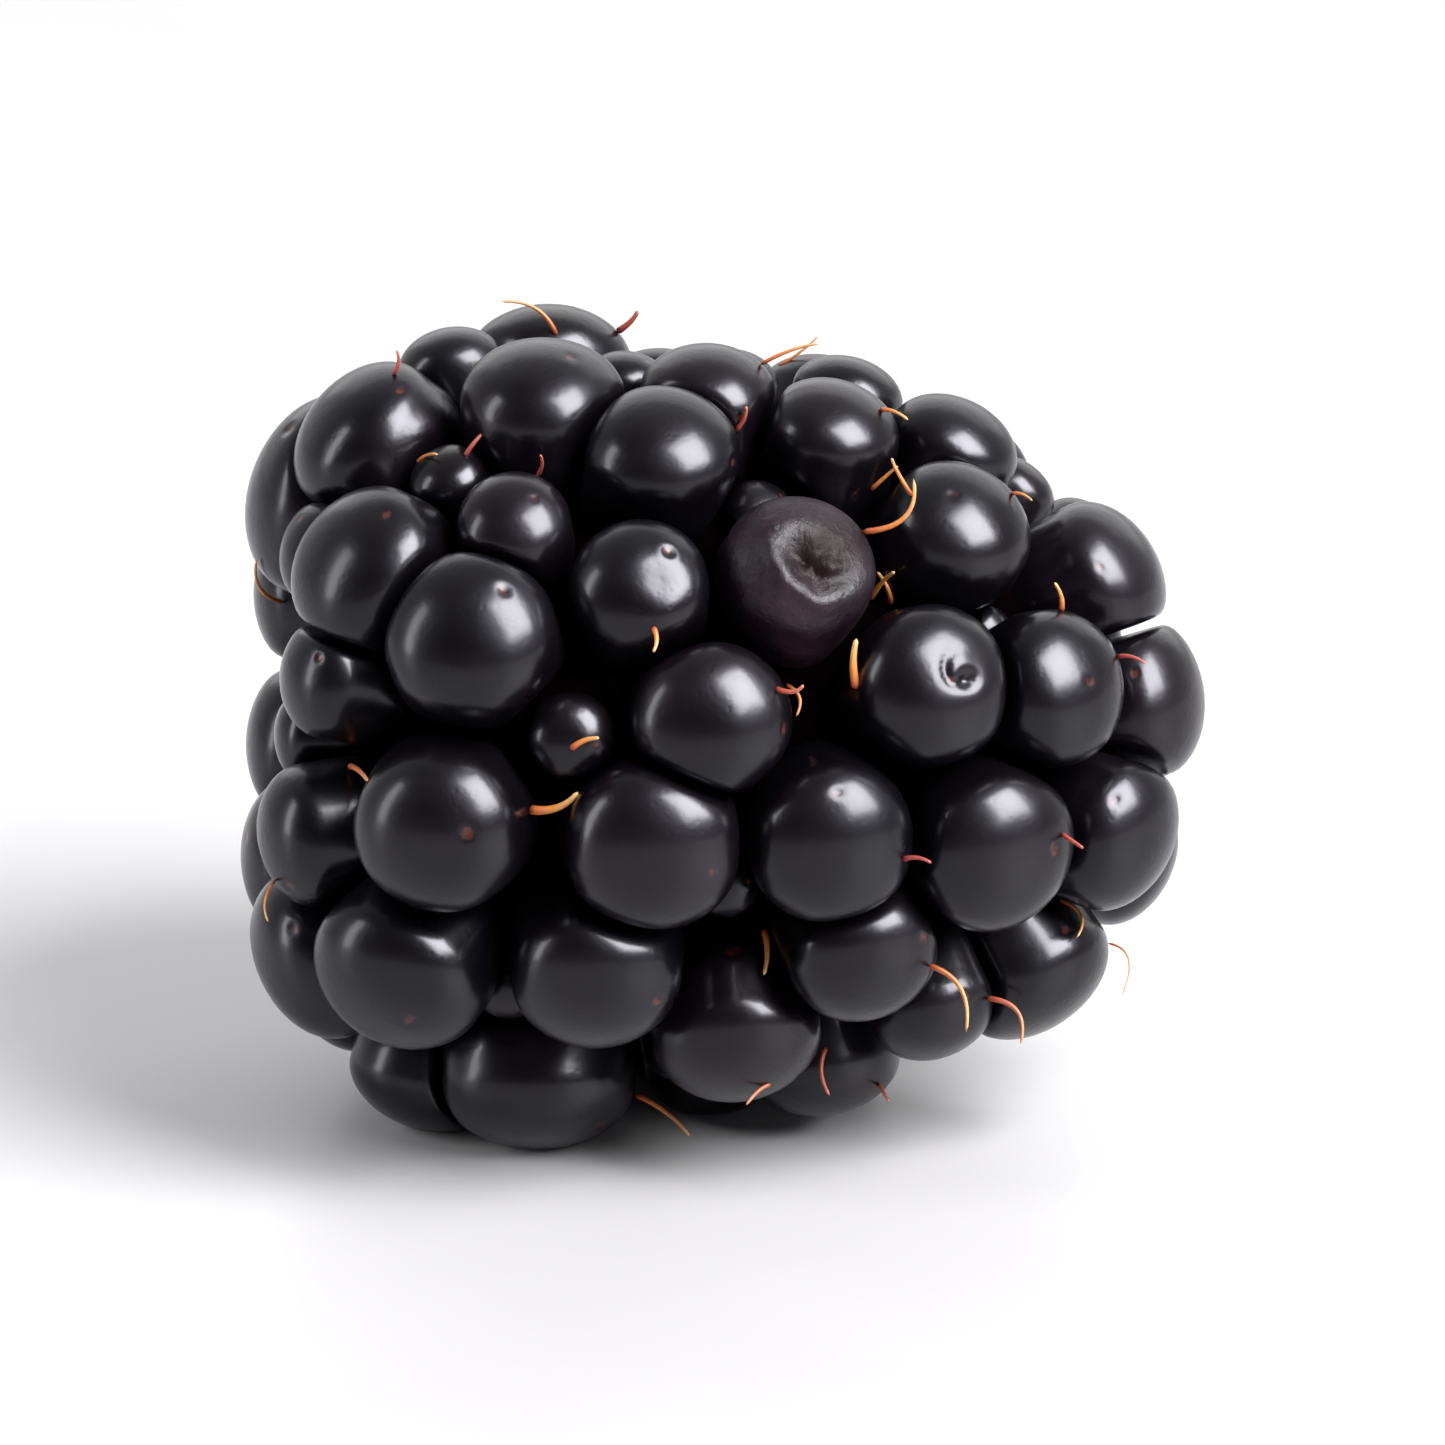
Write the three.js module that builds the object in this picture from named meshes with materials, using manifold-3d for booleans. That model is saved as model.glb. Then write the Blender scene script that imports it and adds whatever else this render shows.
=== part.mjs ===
// A ripe bramble berry that lies on its side: a head of drupelets round a pale receptacle.
// Millimetres, +Z up. +X runs from the stem end to the tip, and -Y is the berry's front.
// The origin is on the surface that the berry lies on, under the middle of the berry.
import * as THREE from "three";
import { mergeVertices } from "three/addons/utils/BufferGeometryUtils.js";
import Module from "manifold-3d";

const wasm = await Module();
wasm.setup();

// The drupelets' centres lie on an egg round the X axis. Each half of it is a superellipse,
// blunt at the stem end and pointed at the tip.
const WIDEST_ALONG = -4.5;
const HEAD_RADIUS = 10.35;
const STEM_REACH = 7.6;
const STEM_POWER = 3.2;
const TIP_REACH = 17;
const TIP_POWER = 2.35;

// The drupelets leave a round scar open at the stem end, where the receptacle shows.
const SCAR_CLEARANCE = 4.6;

// The head dips a little towards its tip, by a turn round Y.
const DIP = THREE.MathUtils.degToRad(2);

// The unplaced drupelets start on a spiral and push each other apart to an even spacing.
const SPIRAL_SPOTS = 88;
const GOLDEN_ANGLE = THREE.MathUtils.degToRad(137.508);
const STEM_END_RADIUS = 2.4;
const TIP_RADIUS_LOSS = 0.25;
const RADIUS_SPREAD = 0.14;
const FREE_SPOT_SHARE = 0.62;
const RELAX_ROUNDS = 160;
const RELAX_SPACING = 1.04;
const RELAX_STEP = 0.22;
const SEED = 12;

// Small drupelets fill what gaps are left.
const GAP_SPOTS = 1600;
const SMALLEST_GAP = 1;
const GAP_SHARE = 0.88;
const LARGEST_FILLER = 2.2;
const FILLER_CLEARANCE = 3.7;

// Small drupelets stay deep between their neighbours: this far in for each millimetre that
// their radius is short of the small radius.
const SMALL_RADIUS = 1.5;
const SINK = 2.2;

// The soft berry sags on its lowest drupelets, which are pressed flat where they touch. The
// lowest one is pressed deepest, and those within reach sag onto the ground beside it.
const PRESSED_DEPTH = 0.5;
const SAG_REACH = 0.3;
const SAG_DEPTH = 0.1;

// A drupelet is flatter than a ball: its height outwards, as a share of its radius.
const DOME = 0.71;

// A drupelet's root is a point this deep in the flesh. Its half section above the root, in
// shares of its radius, is a distance from its axis and a height. It spreads under its dome.
const ROOT_DEPTH = 3.2;
const DRUPELET_SECTION = [
  [1.05, -0.45],
  [0.94, 0.36],
  [0.55, 0.62],
  [0, DOME],
];
const DRUPELET_SIDES = 9;

// The flesh between the drupelets' roots is an egg a little under their centres.
const FLESH_INSET = 1.6;
const FLESH_RINGS = 6;
const FLESH_SIDES = 16;

// The receptacle's half section: distance from the axis, distance from its stem end. The dent
// is the torn hollow in the middle of the scar.
const RECEPTACLE_STEM_END = -11.4;
const RECEPTACLE_LENGTH = 17.2;
const RECEPTACLE_DENT = [
  [0, 1.5],
  [0.55, 1.2],
  [0.85, 0.2],
  [1.35, 0],
];
const RECEPTACLE_SIDE = [
  [1.95, 0.25],
  [2.3, 1.3],
  [3.1, 4.5],
  [3.2, 8.5],
  [2.6, 12.5],
  [1.3, 16],
];
const RECEPTACLE_SIDES = 14;
const CLEARANCE = 0.3;

// The block that stands for the ground, and the distance within which points are one.
const GROUND_SIZE = 100;
const GROUND_DEPTH = 20;
const MERGE_DISTANCE = 1e-5;

// Drupelets of the front, top and stem end: distance along, degrees round from the front
// upwards, radius.
const PLACED = [
  // The top row.
  [-11.6, 105, 2.85],
  [-10.3, 82, 2.4],
  [-7.6, 127, 2],
  [-5.2, 118, 2.35],
  [-5.3, 78, 2.35],
  [-1.9, 66, 2.2],
  [-0.6, 84, 1.95],
  [2.9, 78, 1.95],
  [2.8, 126, 2],
  [6.4, 89, 1.9],
  [-1.9, 132, 1.8],
  [0.1, 107, 1.35],
  [7, 132, 1.9],
  [-8, 102, 1.5],
  [-3, 100, 1.25],
  [3.4, 101, 1.6],
  // The upper row.
  [-10.1, 45, 2.4],
  [-6, 50, 1.6],
  [-2.4, 40, 1.95],
  [1, 61, 1],
  [2, 45, 2.15],
  [6.6, 61, 2.1],
  [8.5, 48, 0.7],
  [10.8, 76.5, 2.2],
  [10.4, 132, 1.6],
  [-11.5, 62, 1.5],
  [8.6, 108, 1.25],
  // The row above the middle.
  [-11.1, 26, 1.75],
  [-12, 8, 1.35],
  [-7.1, 31, 2.4],
  [-4.2, 15.5, 1.2],
  [-0.3, 19, 2.2],
  [5.9, 27, 2.25],
  [9.4, 30, 2.2],
  [12.1, 41, 2.35],
  // The middle row.
  [-11.5, -14, 2],
  [-7.8, 0, 2.4],
  [-1.8, -1, 2.5],
  [3.2, -1, 2.35],
  [7.8, -6, 2.4],
  [11.3, -16, 2.3],
  // The lower row.
  [-11.2, -52, 2.5],
  [-8.8, -29, 2.55],
  [-3.3, -25, 2.4],
  [0.8, -43, 2.35],
  [4.2, -24, 2.15],
  [6.4, -48, 1.85],
  [9.2, -56, 2.35],
  [0.5, -13, 0.9],
  // The bottom row.
  [-8, -73, 2.25],
  [-4.9, -64, 2.8],
  [0.2, -84, 1.9],
  [3.4, -68, 2.15],
  [5.8, -86, 1.4],
  [-10.6, -88, 1.9],
  [3, -98, 2.3],
];

const DRUPELET_COLOUR = 0x17151b;
const RECEPTACLE_COLOUR = 0x8d8648;

// A repeatable draw between 0 and 1.
function seededDraw(seed) {
  let state = seed;
  return () => {
    state = (state * 1664525 + 1013904223) % 4294967296;
    return state / 4294967296;
  };
}

// The reach and power of the half of the egg that holds a point.
function half(along) {
  return along < WIDEST_ALONG ? [STEM_REACH, STEM_POWER] : [TIP_REACH, TIP_POWER];
}

// The egg's radius at a distance along it.
function headRadius(along) {
  const [reach, power] = half(along);
  const share = Math.abs(along - WIDEST_ALONG) / reach;
  return HEAD_RADIUS * (1 - share ** power) ** (1 / power);
}

// Moves a point onto the egg, towards or away from the egg's widest middle.
function ontoHead(point) {
  const [reach, power] = half(point.x);
  const along = Math.abs(point.x - WIDEST_ALONG) / reach;
  const across = Math.hypot(point.y, point.z) / HEAD_RADIUS;
  const scale = (along ** power + across ** power) ** (-1 / power);
  const x = WIDEST_ALONG + (point.x - WIDEST_ALONG) * scale;
  return new THREE.Vector3(x, point.y * scale, point.z * scale);
}

// Moves a point onto the egg and out of the scar at the stem end.
function ontoHeadOffScar(point) {
  const across = Math.hypot(point.y, point.z);
  const scale = point.x < WIDEST_ALONG ? Math.max(1, SCAR_CLEARANCE / across) : 1;
  return ontoHead(new THREE.Vector3(point.x, point.y * scale, point.z * scale));
}

// The egg's outward direction at a point on it.
function outward(point) {
  const [reach, power] = half(point.x);
  const along = point.x - WIDEST_ALONG;
  const across = Math.hypot(point.y, point.z);
  const lift = across ** (power - 2) / HEAD_RADIUS ** power;
  const x = (Math.sign(along) * Math.abs(along) ** (power - 1)) / reach ** power;
  return new THREE.Vector3(x, point.y * lift, point.z * lift).normalize();
}

// Point number index of count on an even spiral over the egg.
function spiralPoint(index, count) {
  const along = 1 - (2 * (index + 0.5)) / count;
  const across = HEAD_RADIUS * Math.sqrt(1 - along * along);
  const reach = along < 0 ? STEM_REACH : TIP_REACH;
  const angle = index * GOLDEN_ANGLE;
  return new THREE.Vector3(
    WIDEST_ALONG + reach * along,
    across * Math.cos(angle),
    across * Math.sin(angle),
  );
}

// The distance from a point to the nearest drupelet's side.
function gapAt(point, drupelets) {
  return Math.min(...drupelets.map((other) => point.distanceTo(other.centre) - other.radius));
}

function placedDrupelets() {
  return PLACED.map(([along, degrees, radius]) => {
    const angle = THREE.MathUtils.degToRad(degrees);
    const across = headRadius(along);
    const centre = new THREE.Vector3(along, -across * Math.cos(angle), across * Math.sin(angle));
    return { centre, radius };
  });
}

// Drupelets on a spiral, where the placed ones leave room.
function spiralDrupelets(placed) {
  const draw = seededDraw(SEED);
  const found = [];
  for (let index = 0; index < SPIRAL_SPOTS; index += 1) {
    const centre = ontoHeadOffScar(spiralPoint(index, SPIRAL_SPOTS));
    const share = (centre.x - WIDEST_ALONG + STEM_REACH) / (STEM_REACH + TIP_REACH);
    const size = 1 - RADIUS_SPREAD / 2 + RADIUS_SPREAD * draw();
    const radius = (STEM_END_RADIUS - TIP_RADIUS_LOSS * share) * size;
    if (gapAt(centre, placed) > FREE_SPOT_SHARE * radius) {
      found.push({ centre, radius });
    }
  }
  return found;
}

// How far the neighbours push a drupelet in one round.
function push(drupelet, others) {
  const total = new THREE.Vector3();
  for (const other of others) {
    const distance = drupelet.centre.distanceTo(other.centre);
    const room = RELAX_SPACING * (drupelet.radius + other.radius);
    if (other !== drupelet && distance < room) {
      const away = drupelet.centre.clone().sub(other.centre);
      total.addScaledVector(away, (RELAX_STEP * (room - distance)) / distance);
    }
  }
  return total;
}

// The spiral's drupelets push each other, and the placed ones hold still.
function relax(free, placed) {
  let current = free;
  for (let round = 0; round < RELAX_ROUNDS; round += 1) {
    const all = [...placed, ...current];
    current = current.map((drupelet) => ({
      centre: ontoHeadOffScar(push(drupelet, all).add(drupelet.centre)),
      radius: drupelet.radius,
    }));
  }
  return current;
}

// Small drupelets in the widest gaps, until no wide gap is left.
function fillers(drupelets) {
  const spots = [];
  for (let index = 0; index < GAP_SPOTS; index += 1) {
    const spot = ontoHead(spiralPoint(index, GAP_SPOTS));
    if (spot.x > WIDEST_ALONG || Math.hypot(spot.y, spot.z) > FILLER_CLEARANCE) {
      spots.push(spot);
    }
  }
  const found = [];
  for (;;) {
    const all = [...drupelets, ...found];
    const gaps = spots.map((spot) => gapAt(spot, all));
    const widest = Math.max(...gaps);
    if (widest < SMALLEST_GAP) {
      return found;
    }
    const radius = Math.min(LARGEST_FILLER, widest * GAP_SHARE);
    found.push({ centre: spots[gaps.indexOf(widest)], radius });
  }
}

// Every drupelet with its outward axis, sagged onto the surface at floor height.
function growDrupelets() {
  const placed = placedDrupelets();
  const grown = [...placed, ...relax(spiralDrupelets(placed), placed)];
  grown.push(...fillers(grown));
  const across = new THREE.Vector3(0, 1, 0);
  for (const drupelet of grown) {
    const sunk = SINK * Math.max(0, SMALL_RADIUS - drupelet.radius);
    drupelet.axis = outward(drupelet.centre).applyAxisAngle(across, DIP);
    drupelet.centre.applyAxisAngle(across, DIP).addScaledVector(drupelet.axis, -sunk);
  }
  const floor = Math.min(...grown.map(lowest)) + PRESSED_DEPTH;
  for (const drupelet of grown) {
    const height = lowest(drupelet) - floor;
    if (height < SAG_REACH) {
      drupelet.centre.z -= Math.max(0, height + SAG_DEPTH);
    }
  }
  return { drupelets: grown, floor };
}

// How far a drupelet reaches from its centre along an axis of the frame.
function reachAlong({ radius, axis }, name) {
  return radius * Math.sqrt(1 - (1 - DOME ** 2) * axis[name] ** 2);
}

function lowest(drupelet) {
  return drupelet.centre.z - reachAlong(drupelet, "z");
}

// The egg's own place in the part's frame: over the origin, with its flats on the ground.
function restingOffset(drupelets, floor) {
  const middle = (axis) => {
    const low = Math.min(...drupelets.map((one) => one.centre[axis] - reachAlong(one, axis)));
    const high = Math.max(...drupelets.map((one) => one.centre[axis] + reachAlong(one, axis)));
    return (low + high) / 2;
  };
  return new THREE.Vector3(-middle("x"), -middle("y"), -floor);
}

// A closed geometry as a solid that can be joined and cut.
function solid(geometry) {
  const bare = geometry.clone();
  bare.deleteAttribute("normal");
  bare.deleteAttribute("uv");
  const merged = mergeVertices(bare, MERGE_DISTANCE);
  const corners = merged.index.array;
  const kept = [];
  for (let at = 0; at < corners.length; at += 3) {
    const [a, b, c] = corners.slice(at, at + 3);
    if (a !== b && b !== c && c !== a) {
      kept.push(a, b, c);
    }
  }
  const mesh = new wasm.Mesh({
    numProp: 3,
    vertProperties: Float32Array.from(merged.attributes.position.array),
    triVerts: Uint32Array.from(kept),
  });
  return new wasm.Manifold(mesh);
}

// A solid back as a geometry.
function geometryOf(manifold) {
  const mesh = manifold.getMesh();
  const geometry = new THREE.BufferGeometry();
  geometry.setAttribute("position", new THREE.BufferAttribute(mesh.vertProperties, 3));
  geometry.setIndex(new THREE.BufferAttribute(mesh.triVerts, 1));
  geometry.computeVertexNormals();
  return geometry;
}

// A turned solid round the +X axis from points of distance from the axis and distance along.
function turned(section, sides) {
  const points = section.map(([across, along]) => new THREE.Vector2(across, along));
  const geometry = new THREE.LatheGeometry(points, sides);
  return geometry.rotateZ(-Math.PI / 2);
}

// One drupelet, turned round its outward axis.
function drupeletSolid({ centre, radius, axis }) {
  const above = DRUPELET_SECTION.map(([across, along]) => [across * radius, along * radius]);
  const geometry = turned([[0, -ROOT_DEPTH], ...above], DRUPELET_SIDES);
  const facing = new THREE.Quaternion().setFromUnitVectors(new THREE.Vector3(1, 0, 0), axis);
  geometry.applyQuaternion(facing);
  geometry.translate(centre.x, centre.y, centre.z);
  return solid(geometry);
}

// The flesh that the drupelets' roots are sunk in.
function fleshSolid() {
  const section = [];
  for (let ring = -FLESH_RINGS; ring <= FLESH_RINGS; ring += 1) {
    const [reach, power] = ring < 0 ? [STEM_REACH, STEM_POWER] : [TIP_REACH, TIP_POWER];
    const angle = ((Math.abs(ring) / FLESH_RINGS) * Math.PI) / 2;
    const along = Math.sin(angle) ** (2 / power) * (reach - FLESH_INSET);
    const across = Math.cos(angle) ** (2 / power) * (HEAD_RADIUS - FLESH_INSET);
    const onAxis = Math.abs(ring) === FLESH_RINGS;
    section.push([onAxis ? 0 : across, WIDEST_ALONG + Math.sign(ring) * along]);
  }
  return solid(turned(section, FLESH_SIDES).rotateY(DIP));
}

// A solid turned from a half section whose distances along start at the receptacle's stem end.
function turnedFromStemEnd(section) {
  const placed = section.map(([across, along]) => [across, RECEPTACLE_STEM_END + along]);
  return solid(turned(placed, RECEPTACLE_SIDES).rotateY(DIP));
}

function receptacleSolid() {
  return turnedFromStemEnd([...RECEPTACLE_DENT, ...RECEPTACLE_SIDE, [0, RECEPTACLE_LENGTH]]);
}

// The hollow that the receptacle sits in, with a clearance all round.
function receptacleHollow() {
  const side = RECEPTACLE_SIDE.map(([across, along]) => [across + CLEARANCE, along]);
  return turnedFromStemEnd([[0, -CLEARANCE], ...side, [0, RECEPTACLE_LENGTH + CLEARANCE]]);
}

// The ground under the berry, to cut the pressed drupelets flat.
function groundSolid(floor) {
  const ground = new THREE.BoxGeometry(GROUND_SIZE, GROUND_SIZE, GROUND_DEPTH);
  ground.translate(0, 0, floor - GROUND_DEPTH / 2);
  return solid(ground);
}

function meshOf(name, manifold, offset, material) {
  const mesh = new THREE.Mesh(geometryOf(manifold), material);
  mesh.name = name;
  mesh.position.copy(offset);
  return mesh;
}

function buildBerry() {
  const { drupelets, floor } = growDrupelets();
  const offset = restingOffset(drupelets, floor);
  const head = drupelets
    .reduce((joined, drupelet) => joined.add(drupeletSolid(drupelet)), fleshSolid())
    .subtract(receptacleHollow())
    .subtract(groundSolid(floor));
  const skin = new THREE.MeshStandardMaterial({ color: DRUPELET_COLOUR, roughness: 0.25 });
  const flesh = new THREE.MeshStandardMaterial({ color: RECEPTACLE_COLOUR, roughness: 0.7 });
  const berry = new THREE.Group();
  berry.add(meshOf("drupelets", head, offset, skin));
  berry.add(meshOf("receptacle", receptacleSolid(), offset, flesh));
  return berry;
}

export default buildBerry();
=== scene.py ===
"""A ripe bramble berry lying on its side on a pale floor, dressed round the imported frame.

The frame is in metres. The berry's own measures are in millimetres, in the egg's frame: the
axis of the egg is X, from the stem end to the tip. DIP turns the berry down a little towards
its tip, and OFFSET moves it to where it lies.
"""

import math

import bpy
import numpy as np
from mathutils import Matrix, Vector
from mathutils.bvhtree import BVHTree


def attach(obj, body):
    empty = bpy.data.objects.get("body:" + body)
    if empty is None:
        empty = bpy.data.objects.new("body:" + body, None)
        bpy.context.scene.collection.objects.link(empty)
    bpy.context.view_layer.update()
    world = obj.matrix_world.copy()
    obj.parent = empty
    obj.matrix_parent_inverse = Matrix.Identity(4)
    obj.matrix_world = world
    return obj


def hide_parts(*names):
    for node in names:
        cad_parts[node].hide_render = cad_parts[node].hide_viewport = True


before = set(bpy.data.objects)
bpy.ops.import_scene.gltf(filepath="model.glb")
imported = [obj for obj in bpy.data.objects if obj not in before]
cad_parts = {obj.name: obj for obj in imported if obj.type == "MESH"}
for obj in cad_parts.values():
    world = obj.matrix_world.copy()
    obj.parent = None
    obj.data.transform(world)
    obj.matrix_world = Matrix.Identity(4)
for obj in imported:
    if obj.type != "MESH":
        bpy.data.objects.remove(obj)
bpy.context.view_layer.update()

MM = 0.001

# ---------------------------------------------------------------- the egg of the drupelets
# The same values as the CAD model's: the drupelets' centres lie on an egg round the X axis,
# and each half of it is a superellipse.
WIDEST_ALONG = -4.5
HEAD_RADIUS = 10.35
STEM_REACH, STEM_POWER = 7.6, 3.2
TIP_REACH, TIP_POWER = 17, 2.35

# The spiral's drupelets keep off the scar, about this far from the axis at the stem end.
SCAR_CLEARANCE = 4.6

# The head dips a little towards its tip.
DIP = Matrix.Rotation(math.radians(2), 3, "Y")

# Drupelets on a spiral cover the hidden side, and push each other apart in rounds.
SPIRAL_SPOTS = 88
GOLDEN_ANGLE = math.radians(137.508)
STEM_END_RADIUS = 2.4
TIP_RADIUS_LOSS = 0.25
RADIUS_SPREAD = 0.14
FREE_SPOT_SHARE = 0.62
RELAX_ROUNDS = 160
RELAX_SPACING = 1.04
RELAX_STEP = 0.22
SEED = 12

# Small drupelets then fill the gaps that are still wide.
GAP_SPOTS = 1600
SMALLEST_GAP = 1
GAP_SHARE = 0.88
LARGEST_FILLER = 2.2
FILLER_CLEARANCE = 3.7

# Small drupelets stay deep between their neighbours.
SMALL_RADIUS = 1.5
SINK = 2.2

# A drupelet is flatter than a ball: its height outwards, as a share of its radius.
DOME = 0.71

# The berry is pressed flat at this height over its lowest point. Drupelets that end just above
# the floor sag into it.
PRESSED_DEPTH = 0.5
SAG_REACH = 0.3
SAG_DEPTH = 0.1

# Drupelets of the front, top and stem end: distance along, degrees round from the front
# upwards, radius. a is the top row and f the bottom one, numbered from the stem end.
PLACED = {
    "a1": (-11.6, 105, 2.85),
    "a2": (-10.3, 82, 2.4),
    "a3": (-7.6, 127, 2),
    "a4": (-5.2, 118, 2.35),
    "a5": (-5.3, 78, 2.35),
    "a6": (-1.9, 66, 2.2),
    "a7": (-0.6, 84, 1.95),
    "a8": (2.9, 78, 1.95),
    "a9": (2.8, 126, 2),
    "a10": (6.4, 89, 1.9),
    "a11": (-1.9, 132, 1.8),
    "a12": (0.1, 107, 1.35),
    "a13": (7, 132, 1.9),
    "a14": (-8, 102, 1.5),
    "a15": (-3, 100, 1.25),
    "a16": (3.4, 101, 1.6),
    "b1": (-10.1, 45, 2.4),
    "b2": (-6, 50, 1.6),
    "b3": (-2.4, 40, 1.95),
    "b4": (1, 61, 1),
    "b5": (2, 45, 2.15),
    "b6": (6.6, 61, 2.1),
    "b7": (8.5, 48, 0.7),
    "b8": (10.8, 76.5, 2.2),
    "b9": (10.4, 132, 1.6),
    "b10": (-11.5, 62, 1.5),
    "b11": (8.6, 108, 1.25),
    "c1": (-11.1, 26, 1.75),
    "c2": (-12, 8, 1.35),
    "c3": (-7.1, 31, 2.4),
    "c4": (-4.2, 15.5, 1.2),
    "c5": (-0.3, 19, 2.2),
    "c6": (5.9, 27, 2.25),
    "c7": (9.4, 30, 2.2),
    "c8": (12.1, 41, 2.35),
    "d1": (-11.5, -14, 2),
    "d2": (-7.8, 0, 2.4),
    "d3": (-1.8, -1, 2.5),
    "d4": (3.2, -1, 2.35),
    "d5": (7.8, -6, 2.4),
    "d6": (11.3, -16, 2.3),
    "e1": (-11.2, -52, 2.5),
    "e2": (-8.8, -29, 2.55),
    "e3": (-3.3, -25, 2.4),
    "e4": (0.8, -43, 2.35),
    "e5": (4.2, -24, 2.15),
    "e6": (6.4, -48, 1.85),
    "e7": (9.2, -56, 2.35),
    "e8": (0.5, -13, 0.9),
    "f1": (-8, -73, 2.25),
    "f2": (-4.9, -64, 2.8),
    "f3": (0.2, -84, 1.9),
    "f4": (3.4, -68, 2.15),
    "f6": (5.8, -86, 1.4),
    "f7": (-10.6, -88, 1.9),
    "f8": (3, -98, 2.3),
}

# Three drupelets of the front have a shape of their own.
DENTED = "b3"
SHRIVELLED = "b5"
HOOKED = "c6"


class Draw:
    """A repeatable draw between 0 and 1."""

    def __init__(self, seed):
        self.state = seed

    def __call__(self):
        self.state = (self.state * 1664525 + 1013904223) % 4294967296
        return self.state / 4294967296

    def between(self, low, high):
        return low + (high - low) * self()


def half(along):
    """The reach and power of the half of the egg that holds a point."""
    return (STEM_REACH, STEM_POWER) if along < WIDEST_ALONG else (TIP_REACH, TIP_POWER)


def head_radius(along):
    reach, power = half(along)
    share = abs(along - WIDEST_ALONG) / reach
    return HEAD_RADIUS * (1 - share**power) ** (1 / power)


def onto_head(point):
    """Moves a point onto the egg, towards or away from the egg's widest middle."""
    reach, power = half(point[0])
    along = abs(point[0] - WIDEST_ALONG) / reach
    across = math.hypot(point[1], point[2]) / HEAD_RADIUS
    scale = (along**power + across**power) ** (-1 / power)
    x = WIDEST_ALONG + (point[0] - WIDEST_ALONG) * scale
    return Vector((x, point[1] * scale, point[2] * scale))


def onto_head_off_scar(point):
    across = math.hypot(point[1], point[2])
    scale = max(1, SCAR_CLEARANCE / across) if point[0] < WIDEST_ALONG else 1
    return onto_head((point[0], point[1] * scale, point[2] * scale))


def outward(point):
    """The egg's outward direction at a point on it."""
    reach, power = half(point[0])
    along = point[0] - WIDEST_ALONG
    across = math.hypot(point[1], point[2])
    lift = across ** (power - 2) / HEAD_RADIUS**power
    x = math.copysign(abs(along) ** (power - 1), along) / reach**power
    return Vector((x, point[1] * lift, point[2] * lift)).normalized()


def spiral_point(index, count):
    """Point number index of count on an even spiral over the egg."""
    along = 1 - 2 * (index + 0.5) / count
    across = HEAD_RADIUS * math.sqrt(1 - along * along)
    reach = STEM_REACH if along < 0 else TIP_REACH
    angle = index * GOLDEN_ANGLE
    return (WIDEST_ALONG + reach * along, across * math.cos(angle), across * math.sin(angle))


class Drupelet:
    """One small fruit: its centre and radius. Its axis, which points outwards, is set later."""

    def __init__(self, name, centre, radius):
        self.name = name
        self.centre = Vector(centre)
        self.radius = radius

    def reach(self, axis):
        """How far the drupelet reaches from its centre along a frame axis."""
        lean = self.axis[axis]
        return self.radius * math.sqrt(1 - (1 - DOME * DOME) * lean * lean)

    def lowest(self):
        return self.centre.z - self.reach(2)


def gaps_at(spots, drupelets):
    """The distance from each spot to the nearest drupelet's side."""
    centres = np.array([one.centre for one in drupelets])
    radii = np.array([one.radius for one in drupelets])
    away = np.linalg.norm(np.array(spots)[:, None, :] - centres[None, :, :], axis=2)
    return (away - radii).min(axis=1)


def placed_drupelets():
    found = []
    for name, (along, degrees, radius) in PLACED.items():
        angle = math.radians(degrees)
        across = head_radius(along)
        centre = (along, -across * math.cos(angle), across * math.sin(angle))
        found.append(Drupelet(name, centre, radius))
    return found


def spiral_drupelets(placed):
    """Drupelets on a spiral, where the placed ones leave room."""
    draw = Draw(SEED)
    found = []
    for index in range(SPIRAL_SPOTS):
        centre = onto_head_off_scar(spiral_point(index, SPIRAL_SPOTS))
        share = (centre.x - WIDEST_ALONG + STEM_REACH) / (STEM_REACH + TIP_REACH)
        size = 1 - RADIUS_SPREAD / 2 + RADIUS_SPREAD * draw()
        radius = (STEM_END_RADIUS - TIP_RADIUS_LOSS * share) * size
        if gaps_at([centre], placed)[0] > FREE_SPOT_SHARE * radius:
            found.append(Drupelet(f"g{len(found) + 1}", centre, radius))
    return found


def push(drupelet, others):
    """How far the neighbours push a drupelet in one round."""
    total = Vector()
    for other in others:
        away = drupelet.centre - other.centre
        room = RELAX_SPACING * (drupelet.radius + other.radius)
        if other is not drupelet and away.length < room:
            total += away * (RELAX_STEP * (room - away.length) / away.length)
    return total


def relax(free, placed):
    """The spiral's drupelets push each other, and the placed ones hold still."""
    for _ in range(RELAX_ROUNDS):
        everyone = placed + free
        moved = [onto_head_off_scar(one.centre + push(one, everyone)) for one in free]
        free = [Drupelet(one.name, centre, one.radius) for one, centre in zip(free, moved)]
    return free


def fillers(drupelets):
    """Small drupelets in the widest gaps, until no wide gap is left."""
    spots = [onto_head(spiral_point(index, GAP_SPOTS)) for index in range(GAP_SPOTS)]
    spots = [
        spot
        for spot in spots
        if spot.x > WIDEST_ALONG or math.hypot(spot.y, spot.z) > FILLER_CLEARANCE
    ]
    found = []
    while True:
        gaps = gaps_at(spots, drupelets + found)
        widest = int(gaps.argmax())
        if gaps[widest] < SMALLEST_GAP:
            return found
        radius = min(LARGEST_FILLER, gaps[widest] * GAP_SHARE)
        found.append(Drupelet(f"h{len(found) + 1}", spots[widest], radius))


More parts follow.
